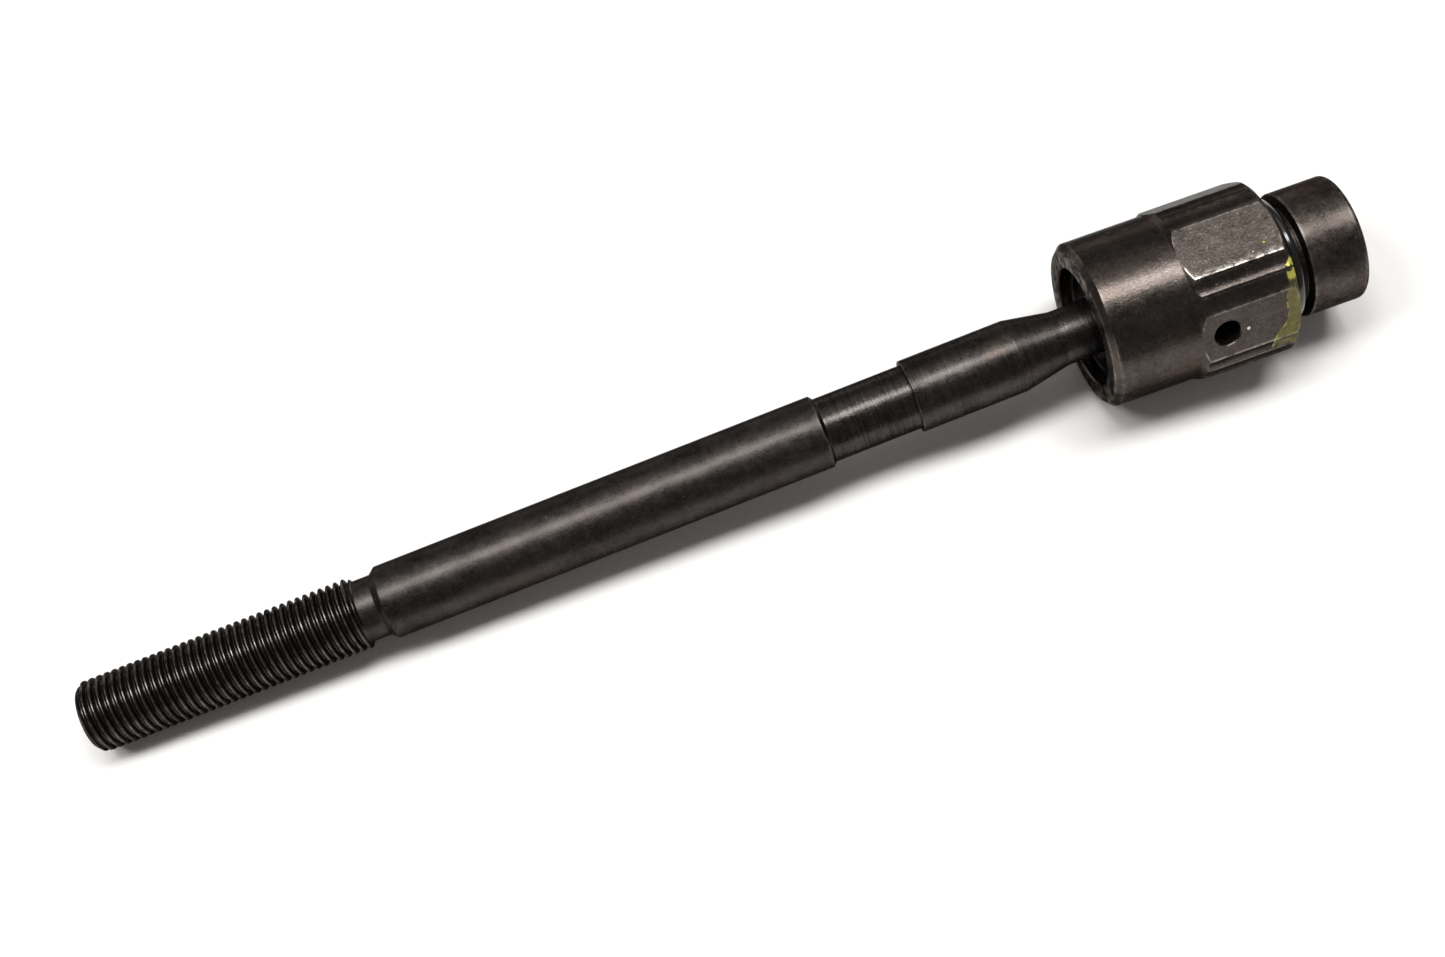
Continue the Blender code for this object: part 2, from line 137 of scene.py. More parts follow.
class SocketSizes(bpy.types.PropertyGroup):
    across_flats: in_metres("Across flats", "Size of the hex", HOUSING_HIGH.z - HOUSING_LOW.z)
    corner_radius: in_metres("Corner radius", "Radius that the hex corners are turned to",
                             (HOUSING_HIGH.y - HOUSING_LOW.y) / 2.0)
    body_radius: in_metres("Body radius", "Radius of the round mouth", 15.9 * MM)
    body_length: in_metres("Body length", "From the mouth's face to the hex's shoulder", 16.6 * MM)
    shoulder: in_metres("Shoulder", "Length of the cone up to the hex", 1.3 * MM)
    mouth_chamfer: in_metres("Mouth chamfer", "Chamfer round the mouth's face", 1.2 * MM)
    end_chamfer: in_metres("Hex end chamfer", "Chamfer on the hex's rear corners", 1.0 * MM)
    bore_radius: in_metres("Bore radius", "Radius of the bore", 11.3 * MM)
    bore_chamfer: in_metres("Bore chamfer", "Chamfer at the bore's edges", 0.3 * MM)
    flute_radius: in_metres("Flute radius", "Radius of each corner flute", 5.5 * MM)
    flute_depth: in_metres("Flute depth", "Depth of each corner flute", 0.3 * MM)
    pin_hole_radius: in_metres("Pin hole radius", "Radius of the hole in one flat", 2.5 * MM)
    pin_hole_place: in_metres("Pin hole place", "From the hex's start to the hole's centre", 3.7 * MM)
    arris_round: in_metres("Arris round", "How much the hex's edges are broken", 0.07 * MM)


class PlugSizes(bpy.types.PropertyGroup):
    head_radius: in_metres("Head radius", "Radius of the plug's head", extent("end_plug")[2])
    head_length: in_metres("Head length", "Length of the plug's head", 10.8 * MM)
    head_round: in_metres("Head round", "Round at the head's far edge", 0.7 * MM)
    neck_length: in_metres("Neck length", "Neck under the seal ring", 3.8 * MM)
    neck_radius: in_metres("Neck radius", "Radius of that neck", 9.45 * MM)
    thread_radius: in_metres("Thread radius", "Crest radius of the plug's thread", 11.0 * MM)
    seal_section: in_metres("Seal section", "Section radius of the seal ring",
                            (SEAL_HIGH.x - SEAL_LOW.x) / 2.0)


class ThreadSizes(bpy.types.PropertyGroup):
    pitch: in_metres("Pitch", "Pitch of both threads", 1.5 * MM)
    depth: in_metres("Depth", "Depth of both threads", 0.9 * MM)
    facets: IntProperty(name="Facets", description="Facets in one turn", default=96, min=24, max=180)


class Finishes(bpy.types.PropertyGroup):
    housing: in_colour("Housing", "Phosphated steel of the housing and plug", (0.074, 0.063, 0.057))
    rod: in_colour("Rod", "Blackened steel of the rod", (0.052, 0.047, 0.045))
    # Also the colour of the painted highlights along one hex arris and on the thread crests
    bare_and_highlight: in_colour("Bare steel", "Steel where the finish is rubbed through", (0.46, 0.43, 0.40))
    rubber: in_colour("Seal rubber", "Rubber of the seal ring", (0.007, 0.007, 0.008))
    paint: in_colour("Inspection paint", "Thin dab of paint on the hex", (0.60, 0.56, 0.10))
    ball: in_colour("Ball", "Ground and polished steel of the ball", (0.72, 0.70, 0.67))


class StageSizes(bpy.types.PropertyGroup):
    floor_colour: in_colour("Table", "Colour of the table", (0.93, 0.93, 0.925))
    lamp_strength: FloatProperty(name="Lamps", description="Strength of the lamps together", default=3.3)
    lamp_spread: in_degrees("Lamp spread", "How wide one lamp looks from the table", 16.0)
    lamp_lean: in_degrees("Lamp lean", "How far the lamps stand behind the upright", 7.5)
    room_strength: FloatProperty(name="Room", description="Strength of the room's own light", default=0.15)
    camera_distance: in_metres("Camera distance", "From the aim to the camera", 372.6 * MM)
    camera_azimuth: in_degrees("Camera azimuth", "Round the part, from the front", -7.35)
    camera_elevation: in_degrees("Camera elevation", "Above the table", 68.25)
    camera_roll: in_degrees("Camera roll", "Turn about the line of sight", -12.67)
    camera_lens: FloatProperty(name="Lens", description="Focal length in millimetres for a 36 mm sensor",
                               default=49.83)
    camera_aim: FloatVectorProperty(name="Aim", description="Point in the middle of the picture",
                                    default=(0.83 * MM, -1.84 * MM, 9.31 * MM), unit="LENGTH")


# Mesh helpers

def soften(corners):
    """Round a profile's corners and return its points with their wear.

    Each corner is (place, radius, fillet) and may add its wear.
    """
    points = []
    last = len(corners) - 1
    for index, (place, radius, fillet, *wear_and_highlight) in enumerate(corners):
        wear_and_sheen = wear_and_highlight[0] if wear_and_highlight else 0.0
        here = Vector((place, radius))
        if fillet <= 0.0 or index in (0, last):
            points.append((place, radius, 0.0))
            continue
        before = Vector(corners[index - 1][:2]) - here
        after = Vector(corners[index + 1][:2]) - here
        half = before.angle(after) / 2.0
        reach = fillet / math.tan(half)
        limit = 0.42 * min(before.length, after.length)
        if reach > limit:
            reach = limit
            fillet = reach * math.tan(half)
        before.normalize()
        after.normalize()
        centre = here + (before + after).normalized() * fillet / math.sin(half)
        first = here + before * reach
        final = here + after * reach
        hold = 0.25 * reach
        fade = min(limit, reach + WEAR_FADE)
        points.append((*(here + before * fade), 0.0))
        points.append((*(first + before * hold), 0.8 * wear_and_sheen))
        for step in range(ARC_STEPS + 1):
            spoke = (first - centre).normalized().slerp((final - centre).normalized(), step / ARC_STEPS)
            points.append((*(centre + spoke * fillet), wear_and_sheen))
        points.append((*(final + after * hold), 0.8 * wear_and_sheen))
        points.append((*(here + after * fade), 0.0))
    return points


def spaced(points, low, high, gap):
    """Add points so that no step along the axis between low and high is longer than the gap."""
    result = []
    for first, second in zip(points, points[1:]):
        result.append(first)
        inside = low - gap < min(first[0], second[0]) and max(first[0], second[0]) < high + gap
        count = math.ceil(abs(second[0] - first[0]) / gap) if inside else 1
        for step in range(1, count):
            share = step / count
            result.append(tuple(a + (b - a) * share for a, b in zip(first, second)))
    result.append(points[-1])
    return result


def arc_points(centre, radius, start, end, steps):
    """Points on an arc of a profile, with angles measured from the axis. They carry no wear."""
    result = []
    for step in range(steps + 1):
        angle = start + (end - start) * step / steps
        result.append((centre[0] + radius * math.cos(angle), centre[1] + radius * math.sin(angle), 0.0))
    return result


def new_object(name, data):
    """Make an object and put it in the scene."""
    obj = bpy.data.objects.new(name, data)
    bpy.context.scene.collection.objects.link(obj)
    return obj


def write_mesh(mesh, data):
    """Clean an edited mesh, turn its faces outwards and write it to the data."""
    bmesh.ops.dissolve_degenerate(mesh, edges=mesh.edges, dist=WELD)
    bmesh.ops.recalc_face_normals(mesh, faces=mesh.faces)
    mesh.to_mesh(data)
    mesh.free()


def turn_angles(count):
    """Evenly spaced angles round the axis."""
    return [2.0 * math.pi * step / count for step in range(count)]


def lathe(name, points, matrix, columns=None, section=None, closed=False):
    """Turn a profile of (place, radius, wear) points into an object, with the matrix's Z as the axis.

    columns are the angles used. section may change a radius and its wear at an angle, and may add a painted
    highlight. A closed profile joins its last point to its first.
    """
    columns = columns or turn_angles(AROUND)
    mesh = bmesh.new()
    # One value per point: edge wear, and along one hex arris also a painted highlight
    wear_and_highlight_layer = mesh.verts.layers.float.new("edge_wear")
    rings = []
    for place, radius, wear in points:
        ring = []
        for angle in columns:
            reach, wear_and_highlight = section(angle, radius, wear) if section and radius > 0.0 else (radius, wear)
            local = Vector((reach * math.cos(angle), reach * math.sin(angle), place))
            vert = mesh.verts.new(matrix @ local)
            vert[wear_and_highlight_layer] = wear_and_highlight
            ring.append(vert)
        rings.append(ring)
    pairs = list(zip(rings, rings[1:]))
    if closed:
        pairs.append((rings[-1], rings[0]))
    count = len(columns)
    for first, second in pairs:
        for index in range(count):
            follow = (index + 1) % count
            mesh.faces.new((first[index], first[follow], second[follow], second[index]))
    bmesh.ops.remove_doubles(mesh, verts=mesh.verts, dist=WELD)
    data = bpy.data.meshes.new(name)
    write_mesh(mesh, data)
    return new_object(name, data)


def rod_places():
    """Where the rod's taper, land, journal, shank, cone, relief and thread begin, from the ball's centre."""
    size = bpy.context.scene.trs_rod
    return list(accumulate((size.neck_length, size.taper_length, size.land_length, size.journal_length,
                            size.shank_length, size.shank_cone, size.relief_length)))


def apply_modifiers(obj):
    """Turn the evaluated object into a plain mesh and drop its modifiers."""
    bpy.context.view_layer.update()
    evaluated = obj.evaluated_get(bpy.context.evaluated_depsgraph_get())
    data = bpy.data.meshes.new_from_object(evaluated)
    obj.modifiers.clear()
    obj.data = data


def dress(obj, material, body, replaced, sharp_degrees=40.0):
    """Finish a piece: its material, smooth shading, body and the solids that it stands for."""
    obj.data.materials.clear()
    obj.data.materials.append(bpy.data.materials[material])
    obj.data.shade_smooth()
    obj.data.set_sharp_from_angle(angle=math.radians(sharp_degrees))
    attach(obj, body)
    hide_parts(*replaced)


def soft_minimum(first, second, width):
    """The smaller of two values, rounded where they meet."""
    blend = max(width - abs(first - second), 0.0) / width
    return min(first, second) - blend * blend * width / 4.0


# Node helpers

class Nodes:
    """Adds and links nodes in one tree."""

    def __init__(self, tree):
        self.tree = tree

    def feed(self, node, inputs):
        """Set a node's inputs, each by its name or number, to a value or to another node's socket."""
        for key, value in dict(inputs).items():
            socket = node.inputs[key]
            if isinstance(value, bpy.types.NodeSocket):
                self.tree.links.new(value, socket)
            else:
                socket.default_value = value

    def add(self, kind, inputs=(), **settings):
        """Add a node with its settings and inputs."""
        node = self.tree.nodes.new(kind)
        for key, value in settings.items():
            setattr(node, key, value)
        self.feed(node, inputs)
        return node

    def math(self, operation, *values, clamp=False):
        """A math node's result."""
        return self.add("ShaderNodeMath", enumerate(values), operation=operation, use_clamp=clamp).outputs[0]

    def plus(self, first, second):
        """The sum of two values."""
        return self.math("ADD", first, second)

    def minus(self, first, second):
        """The first value less the second."""
        return self.math("SUBTRACT", first, second)

    def times(self, first, second):
        """The product of two values."""
        return self.math("MULTIPLY", first, second)

    def swing(self, base, noise, amount):
        """A value moved up and down by a noise's swing about its middle."""
        return self.plus(base, self.times(self.minus(noise, 0.5), amount))

    def spread(self, value, low, high, to_low=0.0, to_high=1.0, smooth=False):
        """Map a value from one range to another, and hold it at the ends."""
        inputs = {"Value": value, "From Min": low, "From Max": high, "To Min": to_low, "To Max": to_high}
        kind = "SMOOTHSTEP" if smooth else "LINEAR"
        return self.add("ShaderNodeMapRange", inputs, interpolation_type=kind).outputs["Result"]

    def noise(self, vector, scale, detail=3.0, roughness=0.55):
        """A noise texture's value."""
        inputs = {"Vector": vector, "Scale": scale, "Detail": detail, "Roughness": roughness}
        return self.add("ShaderNodeTexNoise", inputs).outputs["Fac"]

    def cells(self, vector, scale):
        """The distance from the nearest of many scattered points."""
        return self.add("ShaderNodeTexVoronoi", {"Vector": vector, "Scale": scale}).outputs["Distance"]

    def mapped(self, vector, **inputs):
        """A vector after a Mapping node."""
        inputs = {key.capitalize(): value for key, value in inputs.items()}
        return self.add("ShaderNodeMapping", {"Vector": vector, **inputs}).outputs[0]

    def blend(self, share, *colours):
        """Two colours mixed. Each may be a socket or a colour."""
        first, second = [colour if isinstance(colour, bpy.types.NodeSocket) else (*colour, 1.0)
                         for colour in colours]
        inputs = {0: share, 6: first, 7: second}
        return self.add("ShaderNodeMix", inputs, data_type="RGBA", clamp_factor=True).outputs[2]

    def bump(self, height, strength, distance):
        """Normals from a height."""
        inputs = {"Height": height, "Strength": strength, "Distance": distance}
        return self.add("ShaderNodeBump", inputs).outputs[0]

    def parts(self, vector):
        """A vector's three values."""
        return self.add("ShaderNodeSeparateXYZ", {0: vector}).outputs


def scaled(colour, factor):
    """A colour made lighter or darker."""
    return tuple(channel * factor for channel in colour)


def start_material(name):
    """Make a node material, and return its helper and its shader."""
    material = bpy.data.materials.new(name)
    material.use_nodes = True
    return Nodes(material.node_tree), material.node_tree.nodes["Principled BSDF"]


def axis_vector(nodes, along_rod=False):
    """Object coordinates measured from the ball's centre, with X along the socket's or the rod's axis."""
    place = nodes.add("ShaderNodeTexCoord").outputs["Object"]
    centred = nodes.mapped(place, location=tuple(-BALL_CENTRE))
    if not along_rod:
        return centred
    level = ROD_DIRECTION.rotation_difference(Vector((-1.0, 0.0, 0.0))).to_euler("XYZ")
    return nodes.mapped(centred, rotation=tuple(level))


def steel(name, colour, bare_and_highlight, roughness, turning, mottle, grain, wear_and_sheen, nicked, along_rod=False,
          edge_tint=0.2, paint=None, polished=None, ribbed=None):
    """Dark finished steel: mottled and speckled, with turning marks, small bright specks, and bare colour on edges
    that is partly rubbed wear and partly painted highlight.

    paint gives a share and a colour laid over the steel. polished gives the share of ground, bright steel
    and its colour. ribbed gives the share of coarser and shinier turning marks.
    """
    nodes, shader = start_material(name)
    vector = axis_vector(nodes, along_rod)
    broad = nodes.noise(vector, 150.0, 5.0, 0.62)
    middle = nodes.noise(vector, 700.0, 4.0, 0.65)
    fine = nodes.noise(vector, 2700.0, 3.0, 0.7)
    rings = nodes.noise(nodes.mapped(vector, scale=(2600.0, 40.0, 40.0)), 1.0, 3.0, 0.7)
    if ribbed:
        coarse = ribbed(nodes, vector)
        rings = nodes.swing(rings, rings, nodes.times(coarse, 6.0))

    # Colour: mottled by every noise, and browner in broad patches
    tone = 0.5
    for noise, amount in ((broad, 1.5 * mottle), (middle, 1.2 * mottle), (fine, 1.9 * grain),
                          (rings, 0.7 * turning)):
        tone = nodes.swing(tone, noise, amount)
    surface = nodes.blend(tone, scaled(colour, 0.35), scaled(colour, 1.65))
    patches = nodes.spread(nodes.noise(vector, 95.0, 4.0, 0.6), 0.52, 0.74, smooth=True)
    brown = (colour[0] * 1.30, colour[1], colour[2] * 0.82)
    surface = nodes.blend(nodes.times(patches, 0.30), surface, brown)

    rough = nodes.plus(nodes.times(middle, 0.6), nodes.times(fine, 0.4))
    rough = nodes.spread(rough, 0.34, 0.66, *roughness)
    if ribbed:
        rough = nodes.minus(rough, nodes.times(coarse, 0.13))
    if polished:
        share, bright = polished(nodes, vector)
        surface = nodes.blend(share, surface, nodes.blend(tone, scaled(bright, 0.8), scaled(bright, 1.15)))
        rough = nodes.minus(rough, nodes.times(share, 0.08))

    # Marks: bare colour on edges in patches, partly rubbed wear and partly painted highlight along one arris and
    # the thread crests, and scattered bright specks
    edge = nodes.add("ShaderNodeAttribute", attribute_name="edge_wear").outputs["Fac"]
    patchy = nodes.spread(nodes.plus(middle, nodes.times(broad, 0.5)), 0.60, 0.95)
    rub_and_sheen = nodes.math("MULTIPLY", nodes.times(edge, patchy), wear_and_sheen, clamp=True)
    specks = nodes.spread(nodes.cells(vector, 470.0), 0.070, 0.035)
    chosen = nodes.spread(nodes.noise(vector, 390.0, 1.0, 0.5), 0.58, 0.62)
    nicks = nodes.math("MULTIPLY", nodes.times(specks, chosen), nicked, clamp=True)
    marks = nodes.math("MAXIMUM", rub_and_sheen, nicks)
    surface = nodes.blend(marks, surface, bare_and_highlight)
    rough = nodes.minus(rough, nodes.times(marks, 0.08))

    height = nodes.times(fine, 0.9 * grain)
    for value, amount in ((middle, 0.5), (rings, turning), (nicks, 0.5)):
        height = nodes.plus(height, nodes.times(value, amount))
    metal = 0.94
    if paint:
        share, paint_colour = paint(nodes, vector, middle, fine)
        surface = nodes.blend(share, surface, paint_colour)
        metal = nodes.minus(metal, nodes.times(share, 0.80))
        height = nodes.plus(height, nodes.times(share, 0.4))
    nodes.feed(shader, {"Base Color": surface, "Roughness": rough, "Metallic": metal,
                        "Normal": nodes.bump(height, 0.80, 0.06 * MM),
                        "Specular Tint": (edge_tint, edge_tint, edge_tint, 1.0)})


def polished_ball(nodes, vector):
    """The ball is ground bright, up to the fillet of the neck."""
    away = nodes.add("ShaderNodeVectorMath", {0: vector}, operation="LENGTH").outputs["Value"]
    edge = bpy.context.scene.trs_rod.ball_radius + 0.15 * MM
    return nodes.spread(away, edge + 0.20 * MM, edge), tuple(bpy.context.scene.trs_finishes.ball)


def turned_journal(nodes, vector):
    """The journal is coarsely turned, the land and the neck in front of it half as much, the shank not."""
    start, end = rod_places()[2:4]
    step = 0.1 * MM
    along = nodes.times(nodes.parts(vector)[0], -1.0)
    front = nodes.spread(along, start, start + step, 0.5, 1.0)
    return nodes.times(front, nodes.spread(along, end, end - step))


def flat_point(place, degrees, flat_degrees):
    """A point on a flat of the hex, from its place along the axis and its angle up from the front."""
    inradius = bpy.context.scene.trs_socket.across_flats / 2.0
    reach = inradius / math.cos(math.radians(degrees - flat_degrees))
    angle = math.radians(degrees)
    return place, -reach * math.cos(angle), reach * math.sin(angle)


def inspection_paint(nodes, vector, middle, fine):
    """Thin yellow-green paint at the rear of the hex, and two small chips of paint on its flats."""
    colour = tuple(bpy.context.scene.trs_finishes.paint)
    place, side, up = nodes.parts(vector)
    place = nodes.swing(place, middle, 1.5 * MM)
    angle = nodes.math("ARCTAN2", up, nodes.times(side, -1.0))
    degrees = nodes.swing(nodes.times(angle, 180.0 / math.pi), middle, 9.0)

    # Thin band on the flat with the hole, wider at its lower edge, with a thicker rim
    start = nodes.spread(degrees, 14.0, 25.0, 19.7 * MM, 22.5 * MM)
    inside = nodes.minus(place, start)
    where = nodes.times(nodes.spread(degrees, 50.0, 47.0), nodes.spread(degrees, 2.0, 6.0))
    body = nodes.times(nodes.spread(inside, 0.0, 0.25 * MM), nodes.spread(middle, 0.30, 0.72, 0.16, 0.50))
    rim = nodes.times(nodes.spread(inside, 0.0, 0.15 * MM), nodes.spread(inside, 0.75 * MM, 0.30 * MM))
    rim = nodes.times(rim, nodes.spread(middle, 0.42, 0.58, 0.20, 0.75))
    band = nodes.times(nodes.math("MAXIMUM", body, rim), where)

    # Thicker dab across the corner's two flutes, thin on their ridge, and none under the lower front corner
    reach = nodes.spread(degrees, 66.5, 60.0, 24.6 * MM, 23.2 * MM)
    thick = nodes.spread(nodes.minus(place, reach), 0.0, 0.3 * MM)
    above = nodes.times(nodes.spread(degrees, 67.0, 65.0), nodes.spread(degrees, 60.2, 61.2))
    below = nodes.times(nodes.spread(degrees, 58.8, 57.8), nodes.spread(degrees, 51.0, 53.0, 0.25, 0.8))
    thick = nodes.times(thick, nodes.plus(nodes.times(above, 0.95), below))
    thick = nodes.times(thick, nodes.spread(degrees, -8.0, 0.0))

    share = nodes.math("MAXIMUM", band, thick, clamp=True)
    tint = nodes.blend(nodes.spread(share, 0.45, 0.80), scaled(colour, 0.45), colour)
    chips = (
        (flat_point(15.0 * MM, 28.5, 30.0), 0.40 * MM, (0.80, 0.77, 0.62)),
        (flat_point(21.6 * MM, 80.5, 90.0), 0.22 * MM, colour),
    )
    for point, size, chip_colour in chips:
        away = nodes.add("ShaderNodeVectorMath", {0: vector, 1: point}, operation="DISTANCE")
        away = nodes.swing(away.outputs["Value"], fine, 0.5 * MM)
        chip = nodes.spread(away, size, 0.7 * size)
        tint = nodes.blend(chip, tint, chip_colour)
        share = nodes.math("MAXIMUM", share, chip)
    return share, tint


def rubber(name, colour):
    """Smooth black rubber, oiled and glossy, with fine dust."""
    nodes, shader = start_material(name)
    vector = axis_vector(nodes)
    broad = nodes.noise(vector, 260.0, 4.0, 0.6)
    dust = nodes.spread(nodes.noise(vector, 2900.0, 2.0), 0.66, 0.76)
    nodes.feed(shader, {"Base Color": nodes.blend(nodes.times(dust, 0.22), colour, (0.09, 0.085, 0.08)),
                        "Roughness": nodes.spread(broad, 0.3, 0.7, 0.12, 0.24),
                        "Normal": nodes.bump(broad, 0.12, 0.05 * MM),
                        "Coat Weight": 0.5, "Coat Roughness": 0.08})


def moulded_plastic(name, colour):
    """Moulded bearing plastic with a light grease film."""
    nodes, shader = start_material(name)
    vector = axis_vector(nodes)
    broad = nodes.noise(vector, 300.0, 4.0, 0.6)
    fine = nodes.noise(vector, 2400.0, 2.0, 0.5)
    nodes.feed(shader, {"Base Color": nodes.blend(broad, scaled(colour, 0.75), scaled(colour, 1.2)),
                        "Roughness": nodes.spread(broad, 0.3, 0.7, 0.28, 0.5),
                        "Normal": nodes.bump(fine, 0.2, 0.05 * MM)})


# Thread: one tree of geometry nodes makes either thread

def thread_tree(material, sizes):
    """A closed threaded solid along +Z. Its rows follow the helix, so crests and roots stay sharp.

    sizes gives the tree's inputs their names and defaults.
    """
    tree = bpy.data.node_groups.new("helical_thread", "GeometryNodeTree")
    for name, value in sizes.items():
        kind = "NodeSocketInt" if isinstance(value, int) else "NodeSocketFloat"
        tree.interface.new_socket(name, in_out="INPUT", socket_type=kind).default_value = value
    tree.interface.new_socket("Geometry", in_out="OUTPUT", socket_type="NodeSocketGeometry")
    nodes = Nodes(tree)
    given = nodes.add("NodeGroupInput").outputs

    # Twelve rows in one pitch: two on the crest, two in the root, the rest on the flanks
    per_pitch = 12.0
    turns = nodes.math("DIVIDE", given["Length"], given["Pitch"])
    rows = nodes.math("CEIL", nodes.times(nodes.plus(turns, 1.0), per_pitch))
    row_count = nodes.plus(rows, 3.0)
    last_row = nodes.minus(row_count, 1.0)
    grid = nodes.add("GeometryNodeMeshGrid", {"Size X": 1.0, "Size Y": 1.0,
                                              "Vertices X": nodes.plus(given["Facets"], 1.0),
                                              "Vertices Y": row_count})
    around, up_share = nodes.parts(grid.outputs["UV Map"])[:2]
    row = nodes.math("ROUND", nodes.times(up_share, last_row))
    turn = nodes.minus(nodes.math("DIVIDE", nodes.minus(row, 1.0), per_pitch), 1.0)
    height = nodes.times(nodes.plus(turn, around), given["Pitch"])
    height = nodes.math("MINIMUM", nodes.math("MAXIMUM", height, 0.0), given["Length"])

    # The first and last rows lie on the axis and close the ends
    cycle = nodes.math("FRACT", nodes.plus(turn, 4.0))
    groove = nodes.math("ABSOLUTE", nodes.minus(nodes.times(cycle, 2.0), 1.0))
    fill = nodes.spread(groove, 1.0 / 6.0, 5.0 / 6.0, 1.0, 0.0)
    radius = nodes.minus(given["Crest Radius"], nodes.times(fill, given["Depth"]))
    from_end = nodes.minus(given["Length"], height)
    start_limit = nodes.math("MULTIPLY_ADD", height, given["Start Slope"], given["Start Radius"])
    end_limit = nodes.math("MULTIPLY_ADD", from_end, given["End Slope"], given["End Radius"])
    radius = nodes.math("MINIMUM", radius, nodes.math("MINIMUM", start_limit, end_limit))
    after_first = nodes.math("GREATER_THAN", row, 0.5)
    before_last = nodes.math("LESS_THAN", row, nodes.minus(last_row, 0.5))
    radius = nodes.times(radius, nodes.times(after_first, before_last))

    angle = nodes.times(around, 2.0 * math.pi)
    place = nodes.add("ShaderNodeCombineXYZ", {0: nodes.times(radius, nodes.math("COSINE", angle)),
                                               1: nodes.times(radius, nodes.math("SINE", angle)),
                                               2: height})
    # The crests get a light edge value: partly crest wear, partly a painted highlight
    crest_wear_and_highlight = nodes.spread(groove, 0.80, 0.84)
    wear_and_sheen = nodes.add("GeometryNodeStoreNamedAttribute",
                     {"Geometry": grid.outputs["Mesh"], "Name": "edge_wear", "Value": crest_wear_and_highlight},
                     data_type="FLOAT", domain="POINT").outputs[0]
    moved = nodes.add("GeometryNodeSetPosition", {"Geometry": wear_and_sheen, "Position": place.outputs[0]}).outputs[0]
    welded = nodes.add("GeometryNodeMergeByDistance", {"Geometry": moved, "Distance": WELD}).outputs[0]
    realized = nodes.add("GeometryNodeRealizeInstances", {"Geometry": welded}).outputs[0]
    painted = nodes.add("GeometryNodeSetMaterial", {"Geometry": realized, "Material": material}).outputs[0]
    nodes.add("NodeGroupOutput", {0: painted})
    return tree


def cut_thread(name, matrix, material, length, crest_radius, start, end):
    """Run the thread tree, make its result a plain mesh and place it along the matrix's Z.

    start and end each give the radius at that end and the slope at which it grows from there.
    """
    thread = bpy.context.scene.trs_thread
    sizes = {"Length": length, "Pitch": thread.pitch, "Depth": thread.depth, "Crest Radius": crest_radius,
             "Start Radius": start[0], "Start Slope": start[1], "End Radius": end[0], "End Slope": end[1],
             "Facets": thread.facets}
    obj = new_object(name, bpy.data.meshes.new(name))
    modifier = obj.modifiers.new("thread", "NODES")
    modifier.node_group = thread_tree(bpy.data.materials[material], sizes)
    for item in modifier.node_group.interface.items_tree:
        if item.in_out == "INPUT":
            modifier[item.identifier] = sizes[item.name]
    apply_modifiers(obj)
    mesh = bmesh.new()
    mesh.from_mesh(obj.data)
    write_mesh(mesh, obj.data)
    obj.data.transform(matrix)
    return obj


# Operators

class TRS_OT_finishes(bpy.types.Operator):
    """Make the finishes of every piece"""
    bl_idname = "tie_rod_socket.finishes"
    bl_label = "Finishes"

    def execute(self, context):
        colours = context.scene.trs_finishes
        bare_and_highlight = tuple(colours.bare_and_highlight)
        housing = tuple(colours.housing)
        rod = tuple(colours.rod)
        shade = scaled(rod, 0.8)
        # The housing's edge strength also sets its painted arris highlight
        steel("phosphated_housing_steel", housing, bare_and_highlight, roughness=(0.17, 0.29), turning=0.25, mottle=0.55,
              grain=0.75, wear_and_sheen=0.95, nicked=0.9, paint=inspection_paint)
        steel("phosphated_plug_steel", housing, bare_and_highlight, roughness=(0.27, 0.42), turning=0.35, mottle=0.9,
              grain=0.75, wear_and_sheen=0.5, nicked=0.8)
        steel("blackened_rod_steel", rod, bare_and_highlight, along_rod=True, roughness=(0.30, 0.44), turning=0.35,
              mottle=0.7, grain=0.55, wear_and_sheen=0.4, nicked=0.6, polished=polished_ball, ribbed=turned_journal)
        # On both threads the edge strength lights the crests: partly wear, partly painted highlight
        steel("blackened_thread_steel", rod, bare_and_highlight, along_rod=True, roughness=(0.20, 0.34), turning=0.0,
              mottle=0.4, grain=0.35, wear_and_sheen=0.30, nicked=0.2)
        steel("blackened_plug_thread", shade, bare_and_highlight, roughness=(0.16, 0.28), turning=0.0, mottle=0.3,
              grain=0.3, wear_and_sheen=0.10, nicked=0.1)
        steel("blackened_ring_steel", shade, bare_and_highlight, roughness=(0.24, 0.40), turning=0.5, mottle=0.6,
              grain=0.5, wear_and_sheen=0.3, nicked=0.4)
        steel("bright_spring_steel", (0.42, 0.41, 0.39), bare_and_highlight, roughness=(0.22, 0.32), turning=0.3,
              mottle=0.2, grain=0.2, wear_and_sheen=0.0, nicked=0.0, edge_tint=1.0)
        rubber("oiled_seal_rubber", tuple(colours.rubber))
        moulded_plastic("moulded_bearing_plastic", (0.30, 0.30, 0.28))
        return {"FINISHED"}


